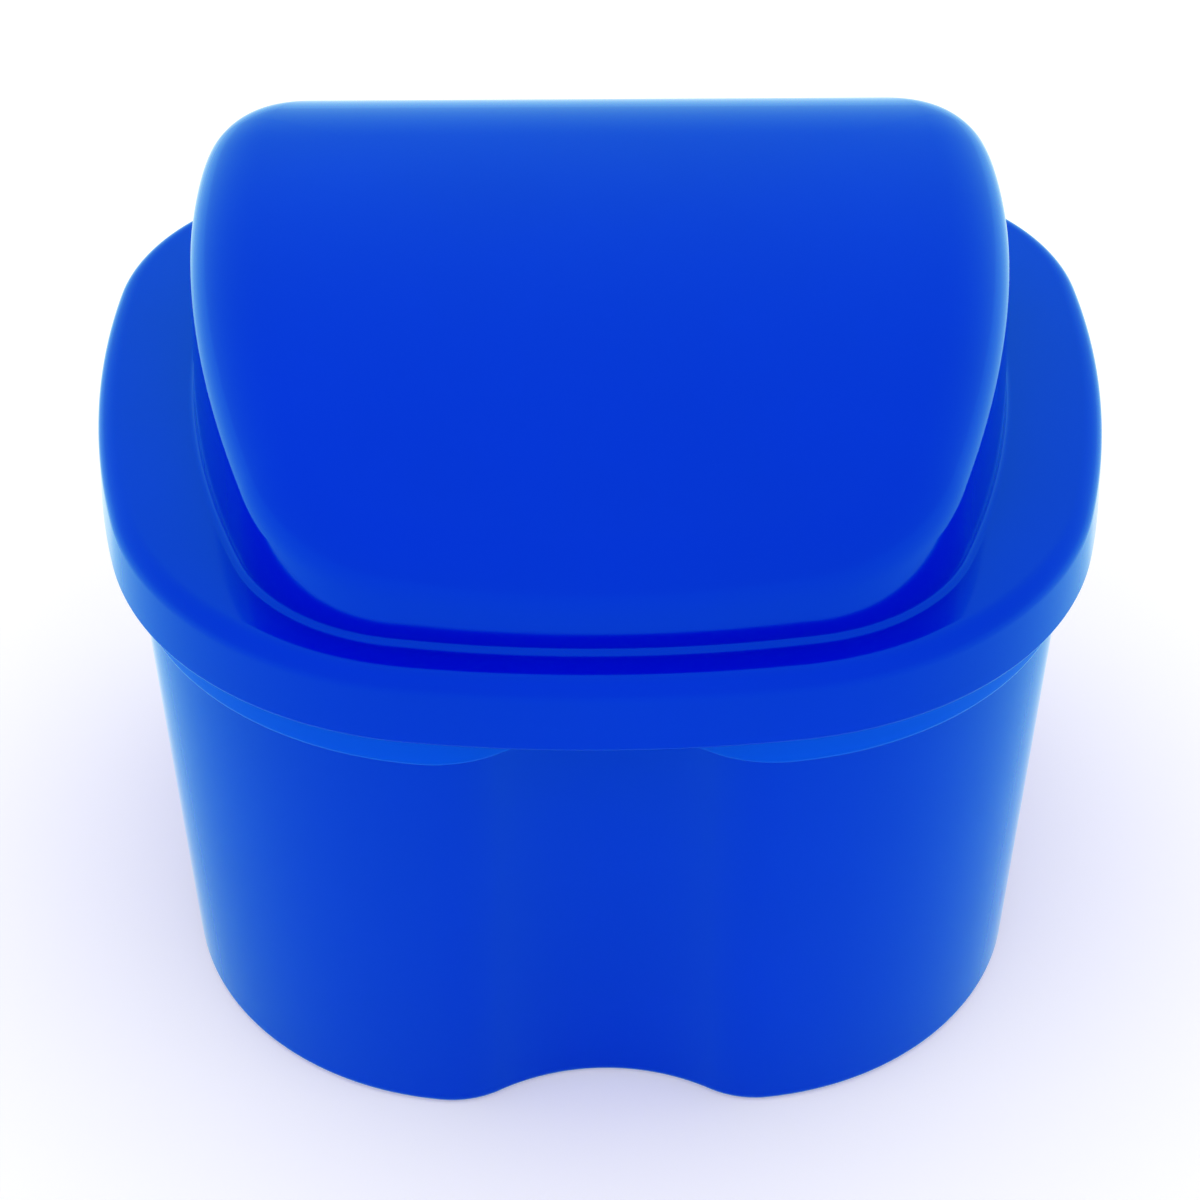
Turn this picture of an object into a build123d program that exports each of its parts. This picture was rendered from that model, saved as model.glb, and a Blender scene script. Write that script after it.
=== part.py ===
from build123d import *
import math
import os

# Denture bath: a cup, a strainer basket that hangs in its mouth on a clip-in handle,
# and a lift-off lid whose high dome clears the handle.
# Millimetres. X is the width, -Y the front with the thumb notch, +Z up.
# The origin is on the ground, under the middle of the lid.

# ---- lid: the plate that closes the cup, and the skirt round its edge ----
lid_half_width = 45.3
lid_reach = 40.1            # from the origin to the front and to the back edge
lid_widest_y = 10.5
lid_side_radius = 102.0
lid_nose_radius = 114.0
lid_tail_radius = 240.0
lid_nose_land = 0.35        # arc left between the thumb notch's lobes and the front corners
lid_back_corner_run = 19.9  # across, from the widest place to where the back arc starts
lid_wall = 1.6
lid_edge_radius = 1.2
plate_top = 53.8
skirt_height = 6.6
skirt_wall = 1.1
skirt_flare = 3.4           # degrees, opening downwards
skirt_edge_chamfer = 0.3

# ---- dome of the lid ----
dome_side_shelf = 8.6       # plate left beside, in front of and behind the dome
dome_front_shelf = 3.9
dome_back_shelf = 7.6
dome_widest_y = 9.5
dome_side_radius = 89.0
dome_nose_radius = 99.0
dome_tail_radius = 150.0
dome_front_corner_run = 19.5
dome_back_corner_run = 13.8
dome_draft = 3.1            # degrees
dome_crest_y = 12.8
dome_height = 72.8          # crest above the ground
roof_front_fall = 0.626     # share of the dome's rise that the roof falls to its front and back
roof_back_fall = 0.495
roof_edge_radius = 6.2
dome_foot_radius = 0.6

# ---- cup ----
cup_wall = 1.6
cup_floor = 1.8
cup_draft = 2.2             # degrees
collar_reveal = 3.6         # collar left showing under the lid's skirt
collar_step = 0.6
skirt_gap = 0.3             # between the lid's skirt and the cup's collar
cup_foot_radius = 0.9
cup_inner_radius = 2.5
foot_width = 3.0
foot_recess = 0.7
ledge_depth = 1.6           # rebate in the mouth that carries the basket
ledge_width = 1.0

# ---- thumb notch down the front of the cup, measured at the ground ----
notch_depth = 4.7
notch_radius = 18.7
notch_lobe_radius = 8.5

# ---- strainer basket ----
basket_wall = 1.2
basket_flange = 1.3
basket_gap = 0.35           # flange to the rebate, all round
basket_floor_height = 8.0   # underside of the basket above the ground
basket_draft = 5.0          # degrees
basket_corner_radius = 3.0
slot_width = 3.6
slot_sill = 6.8             # from the basket's floor up to its wall slots
slot_head = 10.6            # from the wall slots up to the flange
slot_pitch = 9.5
slot_steps = 2              # slots each side of the middle one, front and back
floor_slot_steps = 3
floor_slot_margin = 4.0     # from the floor's outline to the ends of its slots
floor_rib = 4.0             # left across the middle of the floor
slot_clear_of_socket = 12.0

# ---- clip-in handle of the basket ----
handle_y = 2.0
handle_width = 9.0
handle_thickness = 2.4
handle_head_gap = 2.0       # to the dome's crest and sides, inside
handle_side_gap = 2.9
handle_corner = 9.0
handle_edge_chamfer = 0.5
socket_wall = 1.5
socket_depth = 9.0
socket_drop = 9.2           # socket tops below the lid's plate
socket_gap = 0.05
leg_rise = 2.0              # straight leg above its socket
shoulder_gap = 0.2          # from the top of the shoulders to the lid's plate
shoulder_radius = 3.0


def draft_shift(height, degrees):
    """How far a drafted wall moves sideways over a height."""
    return height * math.tan(math.radians(degrees))


def arc_radius(run, drop):
    """Radius of an arc that is level at one end and falls by drop over its run."""
    return (run**2 + drop**2) / (2 * drop)


def corner_radius(half_width, widest, side, reach, arc, arc_half_width):
    """Radius of the corner that touches a side arc and, where it ends, the front or back arc."""
    turn = math.asin(arc_half_width / arc)
    across = arc_half_width + side - half_width
    along = reach - arc + arc * math.cos(turn) - widest
    towards = across * math.sin(turn) + along * math.cos(turn)
    return (across**2 + along**2 - side**2) / (2 * (towards - side))


def crossing_offset(gap, reach_a, reach_b):
    """How far off their line of centres two circles cross, with their centres a gap apart."""
    along = (gap**2 + reach_a**2 - reach_b**2) / (2 * gap)
    return math.sqrt(reach_a**2 - along**2)


def lens(half_width, front, back, widest_y, side, nose, tail, front_corner, back_corner):
    """Rounded outline in the open sketch: four big arcs, their corners filleted."""
    with Locations((half_width - side, widest_y)):
        Circle(side)
    with Locations((side - half_width, widest_y)):
        Circle(side, mode=Mode.INTERSECT)
    with Locations((0, nose - front)):
        Circle(nose, mode=Mode.INTERSECT)
    with Locations((0, back - tail)):
        Circle(tail, mode=Mode.INTERSECT)
    corners = vertices().group_by(Axis.Y)
    fillet(corners[0], front_corner)
    corners = vertices().sort_by(Axis.Y)[-2:]
    fillet(corners, back_corner)


def lid_outline(inset, height):
    """The lid's outline, drawn in by an inset, at a height above the ground."""
    with BuildSketch(Plane.XY.offset(height)) as outline:
        lens(
            lid_half_width - inset,
            lid_reach - inset,
            lid_reach - inset,
            lid_widest_y,
            lid_side_radius - inset,
            lid_nose_radius - inset,
            lid_tail_radius - inset,
            lid_front_corner - inset,
            lid_back_corner - inset,
        )
    return outline.sketch


def dome_outline(inset, height):
    """Footprint of the dome, drawn in by an inset, at a height above the ground."""
    with BuildSketch(Plane.XY.offset(height)) as outline:
        lens(
            dome_half_width - inset,
            dome_front - inset,
            dome_back - inset,
            dome_widest_y,
            dome_side_radius - inset,
            dome_nose_radius - inset,
            dome_tail_radius - inset,
            dome_front_corner - inset,
            dome_back_corner - inset,
        )
    return outline.sketch


def cup_outline(inset, height):
    """The cup's outline with its thumb notch, drawn in from the lid's outline by an inset."""
    grown = inset - cup_ground_inset
    with BuildSketch(Plane.XY.offset(height)) as outline:
        add(lid_outline(inset, 0))
        with Locations((0, notch_centre_y)):
            Circle(notch_radius + grown, mode=Mode.SUBTRACT)
        fillet(vertices().group_by(Axis.Y)[0], notch_lobe_radius - grown)
    return outline.sketch


def roof_height(y, inset):
    """Height of the barrel roof over a place y, its surface drawn in by an inset."""
    radius = (roof_front_radius if y < dome_crest_y else roof_back_radius) - inset
    return dome_height - inset - radius + math.sqrt(radius**2 - (y - dome_crest_y) ** 2)


def dome_solid(inset):
    """The dome from the plate's underside up, drawn in by an inset."""
    start = (inset - dome_front, roof_height(inset - dome_front, inset))
    end = (dome_back - inset, roof_height(dome_back - inset, inset))
    crest = (dome_crest_y, dome_height - inset)
    front_middle = (start[0] + crest[0]) / 2
    back_middle = (end[0] + crest[0]) / 2
    with BuildPart() as dome:
        add(dome_outline(inset, plate_underside))
        add(dome_outline(inset + draft_shift(dome_height - plate_underside, dome_draft), dome_height))
        loft()
        with BuildSketch(Plane.YZ):
            with BuildLine():
                ThreePointArc(start, (front_middle, roof_height(front_middle, inset)), crest)
                ThreePointArc(crest, (back_middle, roof_height(back_middle, inset)), end)
                Polyline(
                    end,
                    (lid_reach, end[1]),
                    (lid_reach, plate_underside),
                    (-lid_reach, plate_underside),
                    (-lid_reach, start[1]),
                    start,
                )
            make_face()
        extrude(amount=dome_half_width, both=True, mode=Mode.INTERSECT)
        roof = dome.faces().filter_by(GeomType.CYLINDER)
        rim = roof.edges().filter_by(GeomType.LINE, reverse=True)
        fillet(rim, min(roof_edge_radius, dome_front_wall) - inset)
    return dome.part


# ---- derived sizes ----
plate_underside = plate_top - lid_wall
collar_bottom = plate_top - skirt_height - collar_reveal
collar_inset = skirt_wall + skirt_gap
cup_ground_inset = collar_inset + collar_step + draft_shift(collar_bottom, cup_draft)
notch_centre_y = cup_ground_inset - lid_reach + notch_depth - notch_radius

nose_centre_y = lid_nose_radius - lid_reach
lobe_centre_reach = lid_nose_radius - cup_ground_inset - notch_lobe_radius
lobe_centre_x = crossing_offset(
    nose_centre_y - notch_centre_y, lobe_centre_reach, notch_radius + notch_lobe_radius
)
lid_nose_half_width = lobe_centre_x * lid_nose_radius / lobe_centre_reach + lid_nose_land
lid_tail_half_width = lid_half_width - lid_back_corner_run
lid_front_corner = corner_radius(
    lid_half_width, -lid_widest_y, lid_side_radius, lid_reach, lid_nose_radius, lid_nose_half_width
)
lid_back_corner = corner_radius(
    lid_half_width, lid_widest_y, lid_side_radius, lid_reach, lid_tail_radius, lid_tail_half_width
)

dome_half_width = lid_half_width - dome_side_shelf
dome_front = lid_reach - dome_front_shelf
dome_back = lid_reach - dome_back_shelf
dome_nose_half_width = dome_half_width - dome_front_corner_run
dome_tail_half_width = dome_half_width - dome_back_corner_run
dome_front_corner = corner_radius(
    dome_half_width, -dome_widest_y, dome_side_radius, dome_front, dome_nose_radius, dome_nose_half_width
)
dome_back_corner = corner_radius(
    dome_half_width, dome_widest_y, dome_side_radius, dome_back, dome_tail_radius, dome_tail_half_width
)
dome_rise = dome_height - plate_top
dome_front_wall = dome_rise * (1 - roof_front_fall)
roof_front_radius = arc_radius(dome_front + dome_crest_y, dome_rise * roof_front_fall)
roof_back_radius = arc_radius(dome_back - dome_crest_y, dome_rise * roof_back_fall)
ledge_height = plate_underside - ledge_depth
cavity_ground_inset = cup_ground_inset + cup_wall
ledge_inset = cavity_ground_inset - draft_shift(ledge_height, cup_draft)
rebate_inset = ledge_inset - ledge_width

basket_rim_inset = ledge_inset + basket_gap
basket_drop = ledge_height - basket_floor_height
basket_floor_inset = basket_rim_inset + draft_shift(basket_drop, basket_draft)
basket_floor_top = basket_floor_height + basket_wall
basket_well_inset = basket_floor_inset + basket_wall - draft_shift(basket_wall, basket_draft)

slot_bottom = basket_floor_top + slot_sill
slot_top = ledge_height - slot_head
slot_height = slot_top - slot_bottom
slot_centre = (slot_top + slot_bottom) / 2

basket_top = ledge_height + basket_flange
basket_mouth_inset = basket_well_inset - draft_shift(basket_top - basket_floor_top, basket_draft)

socket_top = plate_underside - socket_drop
socket_pocket_depth = handle_thickness + 2 * socket_gap
socket_pocket_width = handle_width + 2 * socket_gap
basket_lean = draft_shift(ledge_height - socket_top, basket_draft)
basket_half_width = lid_half_width - basket_rim_inset - basket_lean
leg_x = basket_half_width - basket_wall - socket_wall - handle_thickness / 2
socket_column = basket_half_width - leg_x
socket_column_depth = socket_pocket_depth + socket_wall + socket_column
socket_column_width = socket_pocket_width + 2 * socket_wall
handle_crown = dome_height - lid_wall - handle_head_gap - handle_thickness / 2
handle_half_span = dome_half_width - lid_wall - handle_side_gap - handle_thickness / 2
shoulder_bottom = socket_top + leg_rise
shoulder_top = plate_underside - shoulder_gap
handle_bend = min(handle_corner, handle_crown - shoulder_top - shoulder_radius)


# ---- lid: plate, flared skirt and hollow dome ----
with BuildPart() as lid:
    add(lid_outline(-draft_shift(skirt_height, skirt_flare), plate_top - skirt_height))
    add(lid_outline(0, plate_top))
    loft()
    chamfer(lid.faces().sort_by(Axis.Z)[0].edges(), skirt_edge_chamfer)
    fillet(lid.faces().sort_by(Axis.Z)[-1].edges(), lid_edge_radius)
    add(dome_solid(0))
    foot = lid.edges(Select.LAST).filter_by_position(Axis.Z, plate_top, plate_top)
    fillet(foot, dome_foot_radius)
    add(lid_outline(skirt_wall - draft_shift(skirt_height, skirt_flare), plate_top - skirt_height))
    add(lid_outline(skirt_wall - draft_shift(lid_wall, skirt_flare), plate_underside))
    loft(mode=Mode.SUBTRACT)
    add(dome_solid(lid_wall), mode=Mode.SUBTRACT)
lid.part.label = "lid"

# ---- cup: drafted wall with the thumb notch, collar, hollow, mouth and foot ----
with BuildPart() as cup_hollow:
    add(cup_outline(cavity_ground_inset - draft_shift(cup_floor, cup_draft), cup_floor))
    add(cup_outline(cavity_ground_inset - draft_shift(plate_underside, cup_draft), plate_underside))
    loft()
    fillet(cup_hollow.faces().sort_by(Axis.Z)[0].edges(), cup_inner_radius)

with BuildPart() as cup:
    add(cup_outline(cup_ground_inset, 0))
    add(cup_outline(collar_inset + collar_step, collar_bottom))
    loft()
    fillet(cup.faces().sort_by(Axis.Z)[0].edges(), cup_foot_radius)
    add(cup_outline(collar_inset, collar_bottom))
    extrude(amount=plate_underside - collar_bottom)
    add(cup_hollow.part, mode=Mode.SUBTRACT)
    add(cup_outline(rebate_inset, ledge_height))
    extrude(amount=ledge_depth, mode=Mode.SUBTRACT)
    add(cup_outline(cup_ground_inset + foot_width, 0))
    extrude(amount=foot_recess, mode=Mode.SUBTRACT)
cup.part.label = "cup"

# ---- strainer basket: drafted wall, flange, handle sockets, floor and wall slots ----
with BuildPart() as basket_form:
    add(cup_outline(basket_floor_inset, basket_floor_height))
    add(cup_outline(basket_rim_inset, ledge_height))
    loft()
    fillet(basket_form.faces().sort_by(Axis.Z)[0].edges(), basket_corner_radius)

with BuildPart() as basket_well:
    add(cup_outline(basket_well_inset, basket_floor_top))
    add(cup_outline(basket_mouth_inset, basket_top))
    loft()

with BuildPart() as sockets:
    with BuildSketch(Plane.XY.offset(basket_floor_height)):
        for side in (-1, 1):
            with Locations((side * (leg_x + socket_column / 2), handle_y)):
                Rectangle(socket_column_depth, socket_column_width)
    extrude(amount=socket_top - basket_floor_height)
    add(basket_form.part, mode=Mode.INTERSECT)

with BuildPart() as strainer_basket:
    add(basket_form.part)
    add(cup_outline(rebate_inset + basket_gap, ledge_height))
    extrude(amount=basket_flange)
    add(basket_well.part, mode=Mode.SUBTRACT)
    add(sockets.part)
    with BuildSketch(Plane.XY.offset(socket_top)):
        with Locations((-leg_x, handle_y), (leg_x, handle_y)):
            Rectangle(socket_pocket_depth, socket_pocket_width)
    extrude(amount=-socket_depth, mode=Mode.SUBTRACT)
    with BuildSketch(Plane.XY.offset(basket_floor_height)):
        with Locations([(step * slot_pitch, 0) for step in range(-floor_slot_steps, floor_slot_steps + 1)]):
            Rectangle(slot_width, 2 * lid_reach)
        with Locations((0, handle_y)):
            Rectangle(2 * lid_half_width, floor_rib, mode=Mode.SUBTRACT)
        add(cup_outline(basket_floor_inset + floor_slot_margin, 0), mode=Mode.INTERSECT)
    extrude(amount=basket_wall, mode=Mode.SUBTRACT)
    with BuildSketch(Plane.XZ):
        with Locations([(step * slot_pitch, slot_centre) for step in range(-slot_steps, slot_steps + 1)]):
            Rectangle(slot_width, slot_height)
    extrude(amount=lid_reach, both=True, mode=Mode.SUBTRACT)
    with BuildSketch(Plane.YZ):
        for side in (-1, 1):
            for step in (0, 1):
                with Locations((handle_y + side * (slot_clear_of_socket + step * slot_pitch), slot_centre)):
                    Rectangle(slot_width, slot_height)
    extrude(amount=lid_half_width, both=True, mode=Mode.SUBTRACT)
strainer_basket.part.label = "strainer_basket"

# ---- handle of the basket: a flat arch on two shouldered legs ----
with BuildPart() as basket_handle:
    with BuildSketch(Plane.XZ.offset(-handle_y)):
        with BuildLine() as arch:
            right_leg = [
                (handle_half_span, handle_crown),
                (handle_half_span, shoulder_top),
                (leg_x, shoulder_bottom),
                (leg_x, socket_top - socket_depth),
            ]
            left_leg = [(-x, z) for x, z in reversed(right_leg)]
            Polyline(*left_leg, *right_leg)
            fillet(arch.vertices().group_by(Axis.Y)[-1], handle_bend)
            bends = arch.vertices().filter_by_position(Axis.Y, shoulder_bottom, shoulder_top)
            fillet(bends, shoulder_radius)
        trace(line_width=handle_thickness)
    extrude(amount=handle_width / 2, both=True)
    chamfer(basket_handle.edges().group_by(Axis.Z)[-1], handle_edge_chamfer)
basket_handle.part.label = "basket_handle"

os.makedirs("parts", exist_ok=True)
export_step(cup.part, "parts/cup.step")
export_step(strainer_basket.part, "parts/strainer_basket.step")
export_step(basket_handle.part, "parts/basket_handle.step")
export_step(lid.part, "parts/lid.step")
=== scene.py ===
import math
import bmesh
import bpy
import numpy as np
from mathutils import Matrix


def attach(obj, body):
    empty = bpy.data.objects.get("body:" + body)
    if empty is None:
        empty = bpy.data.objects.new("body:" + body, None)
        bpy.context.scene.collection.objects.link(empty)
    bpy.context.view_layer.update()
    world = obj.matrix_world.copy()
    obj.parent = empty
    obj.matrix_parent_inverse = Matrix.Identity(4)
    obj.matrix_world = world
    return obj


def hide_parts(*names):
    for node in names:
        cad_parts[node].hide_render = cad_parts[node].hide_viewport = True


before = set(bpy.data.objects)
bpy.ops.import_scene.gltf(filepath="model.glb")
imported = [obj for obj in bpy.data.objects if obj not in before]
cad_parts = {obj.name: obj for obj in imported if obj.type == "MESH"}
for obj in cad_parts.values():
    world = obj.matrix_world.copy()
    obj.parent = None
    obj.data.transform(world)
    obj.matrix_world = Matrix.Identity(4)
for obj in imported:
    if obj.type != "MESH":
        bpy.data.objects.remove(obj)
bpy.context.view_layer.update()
mm = 0.001
print("case: frame loaded,", len(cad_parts), "nodes")


# ---- outlines ----

def angleOf(fromPoint, toPoint):
    return math.atan2(toPoint[1] - fromPoint[1], toPoint[0] - fromPoint[0])


def meetingPoint(centreA, reachA, centreB, reachB):
    # where circles of radius reachA and reachB round the two centres cross, on the +X side:
    # go along the line of centres by (d^2 + a^2 - b^2) / 2d, then square to it by what is left of a
    line = np.subtract(centreB, centreA)
    gap = float(np.hypot(*line))
    along = (gap ** 2 + reachA ** 2 - reachB ** 2) / (2 * gap)
    aside = math.sqrt(reachA ** 2 - along ** 2)
    ahead = line / gap
    square = np.array([ahead[1], -ahead[0]])
    square = square if square[0] > 0 else -square
    return centreA + along * ahead + aside * square


def lensArcs(o):
    # the right half of a rounded lens, front middle to back middle: nose, corner, side, corner and tail arcs,
    # each (centre, radius, from angle, to angle, which way is out, steps); two arcs touch at a point on the
    # line of their centres
    nose = np.array([0.0, o["noseRadius"] - o["front"]])
    tail = np.array([0.0, o["back"] - o["tailRadius"]])
    side = np.array([o["halfWidth"] - o["sideRadius"], o["widestY"]])
    front = meetingPoint(nose, o["noseRadius"] - o["frontCorner"], side, o["sideRadius"] - o["frontCorner"])
    back = meetingPoint(tail, o["tailRadius"] - o["backCorner"], side, o["sideRadius"] - o["backCorner"])
    turns = [angleOf(nose, front), angleOf(side, front), angleOf(side, back), angleOf(tail, back)]
    return [
        (nose, o["noseRadius"], -math.pi / 2, turns[0], 1, 46),
        (front, o["frontCorner"], turns[0], turns[1], 1, 60),
        (side, o["sideRadius"], turns[1], turns[2], 1, 36),
        (back, o["backCorner"], turns[2], turns[3], 1, 52),
        (tail, o["tailRadius"], turns[3], math.pi / 2, 1, 30),
    ]


def notchedArcs(o, notch):
    # the same lens with a round bite out of the middle of its front: bite arc, lobe arc, then what is left of
    # the nose
    arcs = lensArcs(o)
    nose = arcs[0][0]
    bite = np.array([0.0, notch["depth"] - o["front"] - notch["radius"]])
    lobe = meetingPoint(nose, o["noseRadius"] - notch["lobe"], bite, notch["radius"] + notch["lobe"])
    leave = angleOf(bite, lobe)
    join = angleOf(nose, lobe)
    return [
        (bite, notch["radius"], math.pi / 2, leave, -1, 30),
        (lobe, notch["lobe"], leave - math.pi, join, 1, 26),
        (nose, o["noseRadius"], join, arcs[0][3], 1, 30),
    ] + arcs[1:]


def closedOutline(arcs):
    # points and outward normals round the whole outline, anticlockwise from the front middle:
    # centre + radius * (cos, sin) along each arc, then the same mirrored in X
    points, normals = [], []
    for centre, radius, start, end, out, steps in arcs:
        angle = np.linspace(start, end, steps, endpoint=False)
        ray = np.stack([np.cos(angle), np.sin(angle)], axis=1)
        points.append(centre + radius * ray)
        normals.append(out * ray)
    centre, radius = arcs[-1][0], arcs[-1][1]
    half = np.concatenate(points + [[[0.0, centre[1] + radius]]])
    halfNormals = np.concatenate(normals + [[[0.0, 1.0]]])
    mirror = np.array([-1.0, 1.0])
    return (np.concatenate([half, half[-2:0:-1] * mirror]),
            np.concatenate([halfNormals, halfNormals[-2:0:-1] * mirror]))


def roundedProfile(corners, step=math.radians(8), close=0.04):
    # a section line of (offset, height, radius): each arc touches its two sides at radius * tan(half the
    # turn) from the corner; a point a little off each arc keeps the flat beside it flat in the shading
    spots = np.array([c[:2] for c in corners], float)
    line = [spots[0]]
    for i in range(1, len(corners) - 1):
        before = spots[i - 1] - spots[i]
        after = spots[i + 1] - spots[i]
        before, after = before / np.hypot(*before), after / np.hypot(*after)
        turn = math.pi - math.acos(float(np.clip(before @ after, -1, 1)))
        radius = corners[i][2]
        touch = radius * math.tan(turn / 2)
        bisector = (before + after) / np.hypot(*(before + after))
        centre = spots[i] + bisector * radius / math.cos(turn / 2)
        t = np.linspace(0, 1, max(3, math.ceil(turn / step)) + 1)[:, None]
        first = spots[i] + before * touch - centre
        last = spots[i] + after * touch - centre
        sweep = (np.sin((1 - t) * turn) * first + np.sin(t * turn) * last) / math.sin(turn)
        line.append(spots[i] + before * (touch + close))
        line += list(centre + sweep)
        line.append(spots[i] + after * (touch + close))
    line.append(spots[-1])
    return np.array(line)


def offsetRings(outline, profile):
    # a section carried round an outline: point + offset * normal, at the section's height
    points, normals = outline
    flat = points[None] + profile[:, None, 0, None] * normals[None]
    height = np.broadcast_to(profile[:, None, 1, None], flat.shape[:2] + (1,))
    return np.concatenate([flat, height], axis=2)


def between(ringA, ringB, shares):
    # rings part of the way from one ring to another, point by point
    shares = np.asarray(shares, float)[:, None, None]
    return ringA[None] * (1 - shares) + ringB[None] * shares


def shellMesh(name, rings, firstPole, lastPole):
    # a closed skin over a stack of rings (rows x round x 3, in mm), with one point to close each end;
    # rows run so that (next row) x (next point) faces out
    rows, around = rings.shape[:2]
    vertices = np.concatenate([rings.reshape(-1, 3), [firstPole], [lastPole]]) * mm
    here = np.arange(around)
    onward = (here + 1) % around
    row = (np.arange(rows - 1) * around)[:, None]
    quads = np.stack([row + here, row + around + here, row + around + onward, row + onward], axis=2)
    first, last = rows * around, rows * around + 1
    bottom = (rows - 1) * around
    caps = np.concatenate([
        np.stack([np.full(around, first), here, onward], axis=1),
        np.stack([np.full(around, last), bottom + onward, bottom + here], axis=1)])
    mesh = bpy.data.meshes.new(name)
    mesh.from_pydata(vertices.tolist(), [], quads.reshape(-1, 4).tolist() + caps.tolist())
    mesh.update()
    return smoothPiece(name, mesh)


def smoothPiece(name, mesh, sharpest=38):
    mesh.shade_smooth()
    mesh.set_sharp_from_angle(angle=math.radians(sharpest))
    piece = bpy.data.objects.new(name, mesh)
    bpy.context.scene.collection.objects.link(piece)
    return piece


# ---- plastic ----

def node(tree, kind, place, **values):
    made = tree.nodes.new(kind)
    made.location = place
    for key, value in values.items():
        if key in made.inputs:
            made.inputs[key].default_value = value
        else:
            setattr(made, key, value)
    return made


def noiseTexture(tree, source, scale, detail, place, stretch=(1, 1, 1)):
    mapping = node(tree, "ShaderNodeMapping", (place[0] - 200, place[1]), Scale=stretch)
    tree.links.new(source, mapping.inputs["Vector"])
    noise = node(tree, "ShaderNodeTexNoise", place, Scale=scale, Detail=detail, Roughness=0.5)
    tree.links.new(mapping.outputs["Vector"], noise.inputs["Vector"])
    return noise.outputs["Fac"]


def spread(tree, source, low, high, place, fromLow=0.3, fromHigh=0.7):
    # low where the source is at or under fromLow, high where it is at or over fromHigh, and even between
    ramp = node(tree, "ShaderNodeMapRange", place)
    for key, value in (("From Min", fromLow), ("From Max", fromHigh), ("To Min", low), ("To Max", high)):
        ramp.inputs[key].default_value = value
    tree.links.new(source, ramp.inputs["Value"])
    return ramp.outputs["Result"]


def mouldedPlastic(name, look):
    # glossy moulded plastic: blue that drifts a little, gloss that varies, faint flow ripple and fine scuffs,
    # and where a lip is given, a band of painted light on it
    material = bpy.data.materials.new(name)
    material.use_nodes = True
    tree = material.node_tree
    tree.nodes.clear()
    link = tree.links.new
    output = node(tree, "ShaderNodeOutputMaterial", (900, 0))
    shader = node(tree, "ShaderNodeBsdfPrincipled", (600, 0))
    link(shader.outputs["BSDF"], output.inputs["Surface"])
    shader.inputs["IOR"].default_value = look["ior"]
    shader.inputs["Specular Tint"].default_value = (*look["glint"], 1)
    shader.inputs["Coat Weight"].default_value = 1
    shader.inputs["Coat IOR"].default_value = look["skinIor"]
    shader.inputs["Coat Roughness"].default_value = look["skinGloss"]
    shader.inputs["Coat Tint"].default_value = (*look["skinTint"], 1)
    here = node(tree, "ShaderNodeTexCoord", (-900, 0)).outputs["Object"]

    drift = noiseTexture(tree, here, look["driftScale"], 3, (-400, 300))
    blues = node(tree, "ShaderNodeMix", (100, 300), data_type="RGBA")
    blues.inputs["A"].default_value = (*look["shade"], 1)
    blues.inputs["B"].default_value = (*look["light"], 1)
    link(spread(tree, drift, 0, 1, (-150, 300)), blues.inputs["Factor"])
    colour = blues.outputs["Result"]
    if "paintedLipLight" in look:                       # painted light: a paler band on the collar's lip, standing in for the extra light its face catches
        bottom, top, paintedLight = look["paintedLipLight"]
        low, high = look["lipFade"]
        height = node(tree, "ShaderNodeSeparateXYZ", (-700, 500))
        link(here, height.inputs["Vector"])
        rise = spread(tree, height.outputs["Z"], 0, 1, (-400, 550), (bottom - low) * mm, (bottom + low) * mm)
        fall = spread(tree, height.outputs["Z"], 1, 0, (-400, 750), (top - high) * mm, top * mm)
        paintedLipLight = node(tree, "ShaderNodeMath", (-150, 600), operation="MULTIPLY")
        link(rise, paintedLipLight.inputs[0])
        link(fall, paintedLipLight.inputs[1])
        # mix the painted light's paler blue into the base colour over that band
        paintedLightMix = node(tree, "ShaderNodeMix", (300, 400), data_type="RGBA")
        paintedLightMix.inputs["B"].default_value = (*paintedLight, 1)
        link(paintedLipLight.outputs["Value"], paintedLightMix.inputs["Factor"])
        link(colour, paintedLightMix.inputs["A"])
        colour = paintedLightMix.outputs["Result"]
    link(colour, shader.inputs["Base Color"])

    haze = noiseTexture(tree, here, look["hazeScale"], 4, (-400, 0))
    scuff = noiseTexture(tree, here, look["scuffScale"], 2, (-400, -200), look["scuffStretch"])
    smooth = spread(tree, haze, *look["gloss"], (-150, 0))
    rubbed = spread(tree, scuff, 0, look["scuffs"], (-150, -200), *look["scuffRange"])
    total = node(tree, "ShaderNodeMath", (100, -50), operation="ADD")
    link(smooth, total.inputs[0])
    link(rubbed, total.inputs[1])
    link(total.outputs["Value"], shader.inputs["Roughness"])

    ripple = noiseTexture(tree, here, look["rippleScale"], 1.5, (-400, -450))
    peel = noiseTexture(tree, here, look["peelScale"], 2, (-400, -650))
    wide = node(tree, "ShaderNodeBump", (100, -450), Strength=1.0, Distance=look["ripple"] * mm)
    fine = node(tree, "ShaderNodeBump", (350, -450), Strength=1.0, Distance=look["peel"] * mm)
    link(ripple, wide.inputs["Height"])
    link(peel, fine.inputs["Height"])
    link(wide.outputs["Normal"], fine.inputs["Normal"])
    link(fine.outputs["Normal"], shader.inputs["Normal"])
    link(fine.outputs["Normal"], shader.inputs["Coat Normal"])
    return material


plasticLook = {
    "shade": (0.0001, 0.0010, 0.58),
    "light": (0.0002, 0.0018, 0.64),
    "glint": (0.03, 0.40, 1.0),
    "ior": 1.9,
    "skinIor": 1.08,              # the moulding's clear skin tints what is under it and is white edge-on
    "skinTint": (0.03, 0.88, 1.0),
    "skinGloss": 0.05,
    "driftScale": 28,             # this and the other scales are noise cells to the metre
    "gloss": (0.07, 0.13),
    "hazeScale": 70,
    "scuffs": 0.12,               # roughness that a scuff adds
    "scuffScale": 900,
    "scuffStretch": (1, 0.06, 0.3),
    "scuffRange": (0.68, 0.75),   # only the noise over this shows
    "ripple": 0.006,              # mm
    "rippleScale": 90,
    "peel": 0.0006,               # mm
    "peelScale": 700,
}


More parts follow.
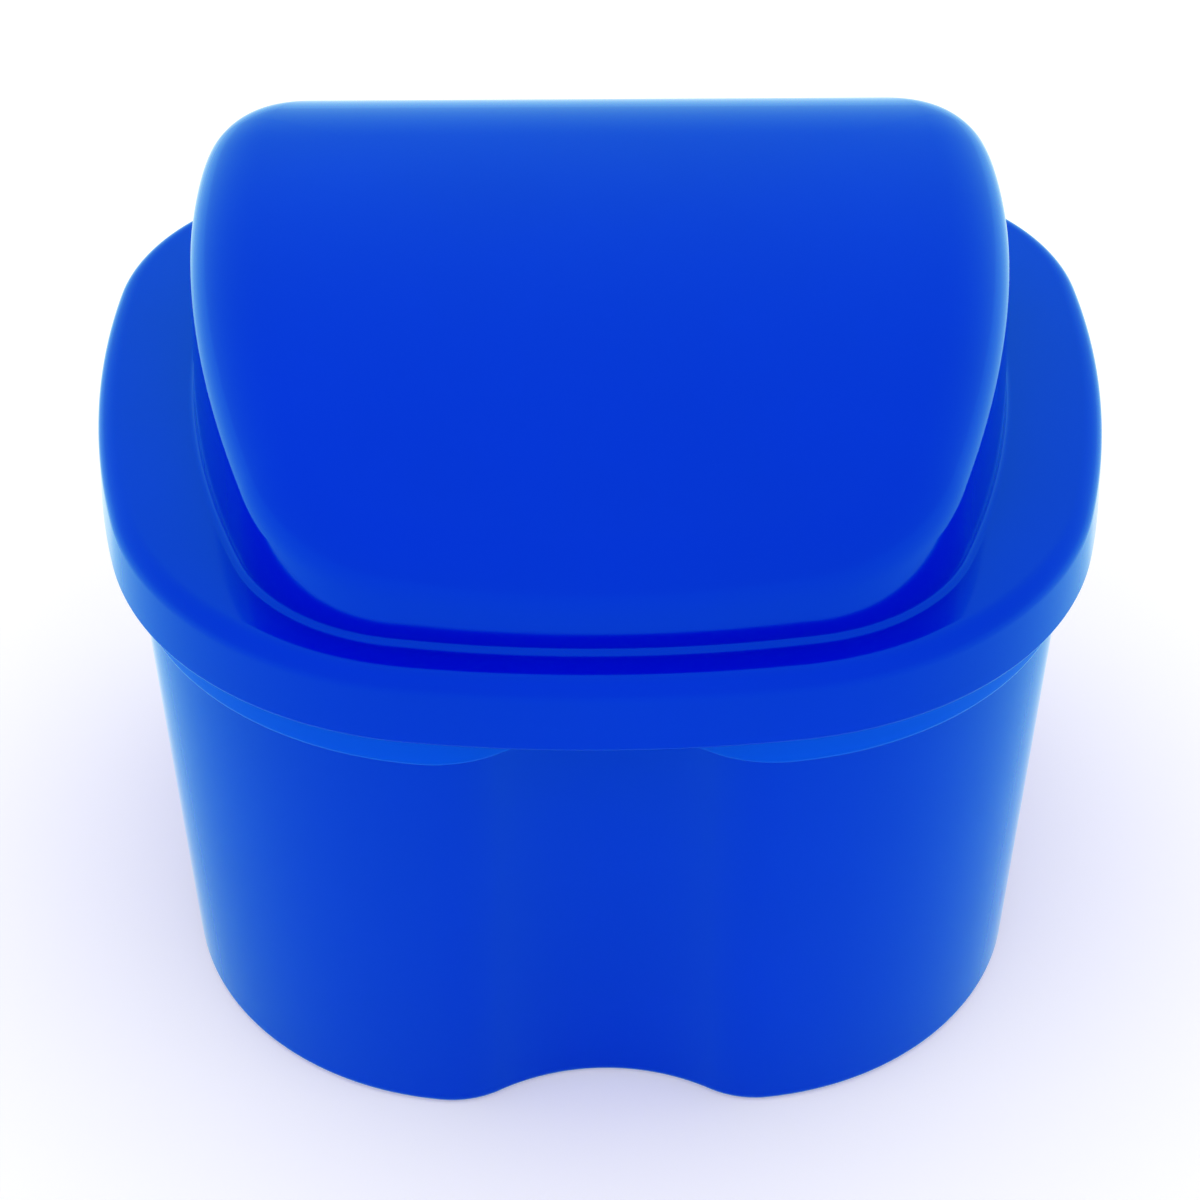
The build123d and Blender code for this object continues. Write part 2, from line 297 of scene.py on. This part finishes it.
def dressed(piece, slot, body, cadNode, look):
    piece.data.materials.clear()
    piece.data.materials.append(mouldedPlastic(slot, look))
    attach(piece, body)
    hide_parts(cadNode)


# ---- lid ----

lid = {
    "outline": {"halfWidth": 45.3, "front": 40.1, "back": 40.1, "widestY": 10.5, "sideRadius": 102,
                "noseRadius": 114, "tailRadius": 240, "frontCorner": 31.4, "backCorner": 22},
    "dome": {"halfWidth": 36.7, "front": 36.2, "back": 32.5, "widestY": 9.5, "sideRadius": 89,
             "noseRadius": 99, "tailRadius": 150, "frontCorner": 17, "backCorner": 16},
    "draft": math.radians(3.1),
    "crestY": 12.8,
    "crestHeight": 72.8,
    "roofFront": 107,             # radius of the barrel before and behind the crest
    "roofBack": 25.3,
    "roofEdge": 6.2,
    "footEdge": 0.6,
    "plateTop": 53.8,
    "wall": 1.6,
    "edge": 1.8,
    "skirtHeight": 6.6,
    "skirtWall": 1.1,
    "skirtRounds": (0.35, 0.25, 0.4),   # the foot's outer and inner corner, and the corner under the plate
    "flare": math.radians(3.4),
}
plateUnderside = lid["plateTop"] - lid["wall"]
settlingRounds = 12
crowding = 1.3                    # over 1, the roof's rings stand closer together towards its edge


def unit(vectors):
    return vectors / np.linalg.norm(vectors, axis=-1, keepdims=True)


def roofPoint(y, inset):
    # height and slope of the barrel roof, drawn in by an inset: the top of the circle of its radius about the
    # crest line
    radius = np.where(y < lid["crestY"], lid["roofFront"], lid["roofBack"])
    across = y - lid["crestY"]
    up = np.sqrt((radius - inset) ** 2 - across ** 2)
    normal = np.stack([np.zeros_like(y), across / (radius - inset), up / (radius - inset)], axis=-1)
    return lid["crestHeight"] - radius + up, normal


def domeRings(outline, inset, edge, foot, rows):
    # rings of the dome from near its middle down to its foot. A ball of the edge's radius rolls in the corner
    # between wall and roof: its centre is that far under the roof and in from the leaning wall, and the skin
    # between the two places it touches is centre + radius * (the normal turned evenly from the roof's to the
    # wall's). The centre is found by going back and forth between wall and roof until it settles.
    points, normals = outline
    lean = math.tan(lid["draft"])
    wallNormal = np.concatenate([normals * math.cos(lid["draft"]),
                                 np.full((len(normals), 1), math.sin(lid["draft"]))], axis=1)
    height = np.full(len(points), lid["crestHeight"] - inset - edge)
    for _ in range(settlingRounds):
        drawnIn = inset + (height - plateUnderside) * lean + edge / math.cos(lid["draft"])
        ball = points - drawnIn[:, None] * normals
        height, roofNormal = roofPoint(ball[:, 1], inset + edge)
    ball = np.concatenate([ball, height[:, None]], axis=1)
    turn = np.arccos(np.clip((wallNormal * roofNormal).sum(axis=1), -1, 1))[None, :, None]
    t = np.linspace(0, 1, rows["edge"] + 1)[:, None, None]
    facing = (np.sin((1 - t) * turn) * roofNormal + np.sin(t * turn) * wallNormal) / np.sin(turn)
    edgeRings = ball + edge * facing
    rim = edgeRings[0]
    middle = np.array([0.0, 0.0])
    share = 1 - (1 - np.linspace(0, 1, rows["roof"] + 1)[1:-1]) ** crowding
    share = np.append(share, 0.997)         # a last ring close to the edge keeps the roof's shading clean
    flat = middle + share[:, None, None] * (rim[:, :2] - middle)
    roofRings = np.concatenate([flat, roofPoint(flat[..., 1], inset)[0][..., None]], axis=2)
    if foot == 0:
        down = np.concatenate([points - inset * normals, np.full((len(points), 1), plateUnderside)], axis=1)
        return np.concatenate([roofRings, edgeRings, between(edgeRings[-1], down, [0.01, 0.5, 0.99, 1])])
    centreHeight = lid["plateTop"] + foot
    drawnIn = (centreHeight - plateUnderside) * lean - foot / math.cos(lid["draft"])
    ball = np.concatenate([points - drawnIn * normals, np.full((len(points), 1), centreHeight)], axis=1)
    plateNormal = np.broadcast_to([0.0, 0.0, 1.0], wallNormal.shape)
    turn = math.pi / 2 - lid["draft"]
    t = np.linspace(0, 1, rows["foot"] + 1)[:, None, None]
    facing = (np.sin((1 - t) * turn) * wallNormal + np.sin(t * turn) * plateNormal) / math.sin(turn)
    footRings = ball - foot * facing
    wallRings = between(edgeRings[-1], footRings[0], [0.01, 0.35, 0.7, 0.99])
    return np.concatenate([roofRings, edgeRings, wallRings, footRings])


def buildLid():
    rim = closedOutline(lensArcs(lid["outline"]))
    dome = closedOutline(lensArcs(lid["dome"]))
    low = lid["plateTop"] - lid["skirtHeight"]
    flare = math.tan(lid["flare"])
    out = lid["skirtHeight"] * flare
    inner = lid["wall"] * flare - lid["skirtWall"]
    outerRound, innerRound, rootRound = lid["skirtRounds"]
    section = roundedProfile([
        (-lid["edge"] - 0.6, lid["plateTop"], 0),
        (0, lid["plateTop"], lid["edge"]),
        (out, low, outerRound),
        (out - lid["skirtWall"], low, innerRound),
        (inner, plateUnderside, rootRound),
        (inner - 1.2, plateUnderside, 0),
    ], step=math.radians(6))
    skirt = offsetRings(rim, section)
    outer = domeRings(dome, 0, lid["roofEdge"], lid["footEdge"], {"roof": 44, "edge": 18, "foot": 5})
    inside = domeRings(dome, lid["wall"], lid["roofEdge"] - lid["wall"], 0, {"roof": 18, "edge": 8})[::-1]
    rings = np.concatenate([
        outer, between(outer[-1], skirt[0], [0.02, 0.5, 0.9]), skirt,
        between(skirt[-1], inside[0], [0.3, 0.7]), inside])
    middle = np.zeros(1)
    top = roofPoint(middle, 0)[0][0]
    under = roofPoint(middle, lid["wall"])[0][0]
    piece = shellMesh("lidShell", rings, (0, 0, top), (0, 0, under))
    dressed(piece, "lid_plastic", "lid", "lid", plasticLook)
    print("case: lid", len(piece.data.polygons), "faces")


buildLid()


# ---- cup ----

cup = {
    "inset": 3.675,               # from the lid's outline to the cup's at the ground
    "draft": math.radians(2.2),
    "notch": {"depth": 4.7, "radius": 18.7, "lobe": 8.5},
    "wall": 1.6,
    "floor": 1.8,
    "rim": 52.2,
    "collarInset": 1.4,
    "collarStep": 0.6,
    "collarBottom": 43.2,
    "lipHeight": 2.95,            # the collar's lower part is a lip with a groove over it
    "lipLean": 0.1,
    "groove": 0.9,
    "grooveTop": 49.6,
    "lipEdge": 0.5,
    # painted light: a paler blue on the collar's lip, standing in for the extra light its face catches under
    # the skirt
    "lipPaintedLight": (0.012, 0.055, 0.74),
    "lipFade": (0.1, 0.3),        # heights over which the painted light comes in below and goes out above
    "round": 0.2,                 # every small corner
    "ledgeDepth": 1.6,
    "ledgeWidth": 1.0,
    "footEdge": 0.9,
    "floorEdge": 2.5,
    "footWidth": 3.0,
    "footRecess": 0.7,
    "hub": (0.0, 2.0),            # where the rings of the floor and of the foot close
}


def buildCup():
    ground = {key: size - (0 if key == "widestY" else cup["inset"]) for key, size in lid["outline"].items()}
    outline = closedOutline(notchedArcs(ground, cup["notch"]))
    lean = math.tan(cup["draft"])
    ledge = cup["rim"] - cup["ledgeDepth"]
    collar = cup["inset"] - cup["collarInset"]
    small = cup["round"]
    innerFoot, innerLedge = cup["floor"] * lean - cup["wall"], ledge * lean - cup["wall"]
    innerRim = innerLedge + cup["ledgeWidth"]
    grooveTop, lipTop = cup["grooveTop"], cup["collarBottom"] + cup["lipHeight"]
    section = roundedProfile([
        (-cup["wall"] - 3.2, cup["floor"], 0),
        (innerFoot, cup["floor"], cup["floorEdge"]),
        (innerLedge, ledge, small),
        (innerRim, ledge, small),
        (innerRim, cup["rim"], small),
        (collar, cup["rim"], 0.3),
        (collar, grooveTop, small),
        (collar - cup["groove"], grooveTop - 0.6, small),
        (collar - cup["groove"], lipTop, small),
        (collar - cup["lipLean"], lipTop, small),
        (collar, cup["collarBottom"], cup["lipEdge"]),
        (collar - cup["collarStep"], cup["collarBottom"], 0.1),
        (0, 0, cup["footEdge"]),
        (-cup["footWidth"], 0, small),
        (-cup["footWidth"], cup["footRecess"], small),
        (-cup["footWidth"] - 0.6, cup["footRecess"], 0),
    ], step=math.radians(14))
    walls = offsetRings(outline, section)
    hub = np.array(cup["hub"])
    floorHub = np.broadcast_to([*hub, cup["floor"]], walls[0].shape)
    footHub = np.broadcast_to([*hub, cup["footRecess"]], walls[0].shape)
    quarters = [0.25, 0.5, 0.75]
    rings = np.concatenate([
        between(floorHub, walls[0], quarters), walls, between(walls[-1], footHub, quarters)])
    piece = shellMesh("cupShell", rings, (*hub, cup["floor"]), (*hub, cup["footRecess"]))
    # the lip's painted light: a paler blue band from the collar's foot up to the top of the lip
    paintedLipLight = {"paintedLipLight": (cup["collarBottom"] - 0.05, lipTop, cup["lipPaintedLight"]), "lipFade": cup["lipFade"]}
    dressed(piece, "cup_plastic", "cup", "cup", {**plasticLook, **paintedLipLight})
    print("case: cup", len(piece.data.polygons), "faces")


buildCup()


# ---- strainer basket ----

basket = {
    "joined": 0.0005,             # points nearer than this are one
    "flat": math.radians(0.3),    # faces that turn by less than this are one
    "sharpest": 30,               # degrees, over which an edge stays sharp
}


def smoothedCopy(cadNode, name):
    # the node's own shape with its loose triangles joined and its flat faces made whole; the faces' areas
    # then weigh the shading, so that flats stay flat beside their round edges
    form = bmesh.new()
    form.from_mesh(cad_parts[cadNode].data)
    bmesh.ops.remove_doubles(form, verts=form.verts, dist=basket["joined"] * mm)
    bmesh.ops.dissolve_limit(form, angle_limit=basket["flat"], verts=form.verts, edges=form.edges)
    bmesh.ops.triangulate(form, faces=form.faces)
    mesh = bpy.data.meshes.new(name)
    form.to_mesh(mesh)
    form.free()
    piece = smoothPiece(name, mesh, basket["sharpest"])
    weigh = piece.modifiers.new("evenShading", "WEIGHTED_NORMAL")
    weigh.keep_sharp = True
    return piece


def buildBasket():
    piece = smoothedCopy("strainer_basket", "basketShell")
    dressed(piece, "basket_plastic", "basket", "strainer_basket", plasticLook)
    print("case: basket", len(piece.data.polygons), "faces")


buildBasket()


# ---- handle ----

handle = {
    "y": 2.0,
    "width": 9.0,
    "thickness": 2.4,
    "crown": 68.0,                # middle of the strap, above the ground
    "halfSpan": 31.0,
    "bend": 9.0,
    "shoulderTop": 52.0,
    "shoulderBottom": 45.0,
    "shoulderBend": 3.0,
    "legX": 37.054,
    "legEnd": 34.0,
    "edge": 0.45,
    "tip": (0.55, 0.88, 1.0),     # the section's size at the first points from each end
}


def buildHandle():
    # a strap along an arch: its section, a rounded rectangle, is carried along the arch's line, point by point,
    # as point + across * (the line's normal) + along Y; both ends shrink into a rounded tip
    h = handle
    right = [(h["legX"], h["legEnd"], 0), (h["legX"], h["shoulderBottom"], h["shoulderBend"]),
             (h["halfSpan"], h["shoulderTop"], h["shoulderBend"]), (h["halfSpan"], h["crown"], h["bend"])]
    left = [(-x, z, r) for x, z, r in reversed(right)]
    line = roundedProfile(right + left, step=math.radians(4))
    ahead = unit(np.gradient(line, axis=0))
    normal = np.stack([ahead[:, 1], -ahead[:, 0]], axis=1)
    half, thick, edge = h["width"] / 2, h["thickness"] / 2, h["edge"]
    turn = (np.arange(28) + 0.5) * math.pi / 14
    corner = np.stack([np.sign(np.cos(turn)) * (half - edge), np.sign(np.sin(turn)) * (thick - edge)], axis=1)
    section = corner + edge * np.stack([np.cos(turn), np.sin(turn)], axis=1)
    tip = np.array(h["tip"])
    shrink = np.concatenate([tip, np.ones(len(line) - 2 * len(tip)), tip[::-1]])
    along = section[None, :, 0] * shrink[:, None]
    across = section[None, :, 1] * shrink[:, None]
    flat = line[:, None, :] + across[..., None] * normal[:, None, :]
    rings = np.stack([flat[..., 0], h["y"] + along, flat[..., 1]], axis=2)
    first, last = (h["legX"], h["y"], h["legEnd"]), (-h["legX"], h["y"], h["legEnd"])
    piece = shellMesh("handleArch", rings, first, last)
    dressed(piece, "handle_plastic", "basket", "basket_handle", plasticLook)
    print("case: handle", len(piece.data.polygons), "faces")


buildHandle()


# ---- camera ----

camera = {
    "azimuth": -0.55,             # degrees, from the front towards the right
    "elevation": 38.71,
    "roll": -0.055,
    "distance": 280,
    "target": (0.01, 6.67, 24.97),
    "lens": 86.43,
}


def buildCamera():
    # the camera stands at target + distance * back; right is square to back and the vertical, up is square to
    # both, and the two then turn by the roll
    turn, lift, roll = (math.radians(camera[key]) for key in ("azimuth", "elevation", "roll"))
    back = np.array([math.sin(turn) * math.cos(lift), -math.cos(turn) * math.cos(lift), math.sin(lift)])
    right = unit(np.cross([0, 0, 1], back))
    up = np.cross(back, right)
    right, up = right * math.cos(roll) + up * math.sin(roll), up * math.cos(roll) - right * math.sin(roll)
    eye = (np.array(camera["target"]) + camera["distance"] * back) * mm
    data = bpy.data.cameras.new("caseCamera")
    data.lens = camera["lens"]
    data.sensor_width = 36
    data.clip_start = 0.01
    holder = bpy.data.objects.new("caseCamera", data)
    turned = np.eye(4)
    turned[:3] = np.stack([right, up, back, eye], axis=1)
    holder.matrix_world = Matrix(turned.tolist())
    bpy.context.scene.collection.objects.link(holder)
    bpy.context.scene.camera = holder


buildCamera()


# ---- studio ----

studio = {
    "floorSize": 3.0,
    "paper": 0.9,                 # the floor's own tone
    "shine": 0.2,                 # added where the floor is seen, also in a reflection, to show it as white
    "room": 1.05,                 # the even light of the white room
}


def seenShare(tree):
    # 1 for what the camera sees, directly, in a reflection or through glass, and 0 for light that falls on
    # the case and scatters
    seen = node(tree, "ShaderNodeLightPath", (-600, 300)).outputs
    share = seen["Is Camera Ray"]
    for kind in ("Is Glossy Ray", "Is Transmission Ray"):
        either = node(tree, "ShaderNodeMath", (-300, 300), operation="MAXIMUM")
        tree.links.new(share, either.inputs[0])
        tree.links.new(seen[kind], either.inputs[1])
        share = either.outputs["Value"]
    return share


def buildFloor():
    size = studio["floorSize"]
    mesh = bpy.data.meshes.new("studioFloor")
    corners = [(-size, -size, 0), (size, -size, 0), (size, size, 0), (-size, size, 0)]
    mesh.from_pydata(corners, [], [(0, 1, 2, 3)])
    floor = bpy.data.objects.new("studioFloor", mesh)
    bpy.context.scene.collection.objects.link(floor)
    material = bpy.data.materials.new("studioPaper")
    material.use_nodes = True
    tree = material.node_tree
    tree.nodes.clear()
    link = tree.links.new
    output = node(tree, "ShaderNodeOutputMaterial", (600, 0))
    paper = node(tree, "ShaderNodeBsdfDiffuse", (0, 0), Color=(*[studio["paper"]] * 3, 1))
    glow = node(tree, "ShaderNodeEmission", (0, -300), Strength=studio["shine"])
    lit = node(tree, "ShaderNodeAddShader", (200, -200))
    mix = node(tree, "ShaderNodeMixShader", (400, 0))
    link(paper.outputs["BSDF"], lit.inputs[0])
    link(glow.outputs["Emission"], lit.inputs[1])
    link(seenShare(tree), mix.inputs["Fac"])
    link(paper.outputs["BSDF"], mix.inputs[1])
    link(lit.outputs["Shader"], mix.inputs[2])
    link(mix.outputs["Shader"], output.inputs["Surface"])
    mesh.materials.append(material)


def buildWorld():
    # an even white room, which shows as plain white
    world = bpy.data.worlds.new("studioRoom")
    bpy.context.scene.world = world
    world.use_nodes = True
    tree = world.node_tree
    tree.nodes.clear()
    strength = node(tree, "ShaderNodeMix", (0, 0), data_type="FLOAT")
    strength.inputs["A"].default_value = studio["room"]
    strength.inputs["B"].default_value = 1.0
    tree.links.new(seenShare(tree), strength.inputs["Factor"])
    background = node(tree, "ShaderNodeBackground", (300, 0), Color=(1, 1, 1, 1))
    tree.links.new(strength.outputs["Result"], background.inputs["Strength"])
    output = node(tree, "ShaderNodeOutputWorld", (600, 0))
    tree.links.new(background.outputs["Background"], output.inputs["Surface"])


buildFloor()
buildWorld()
bpy.context.scene.view_settings.view_transform = "Standard"
print("case: studio ready")
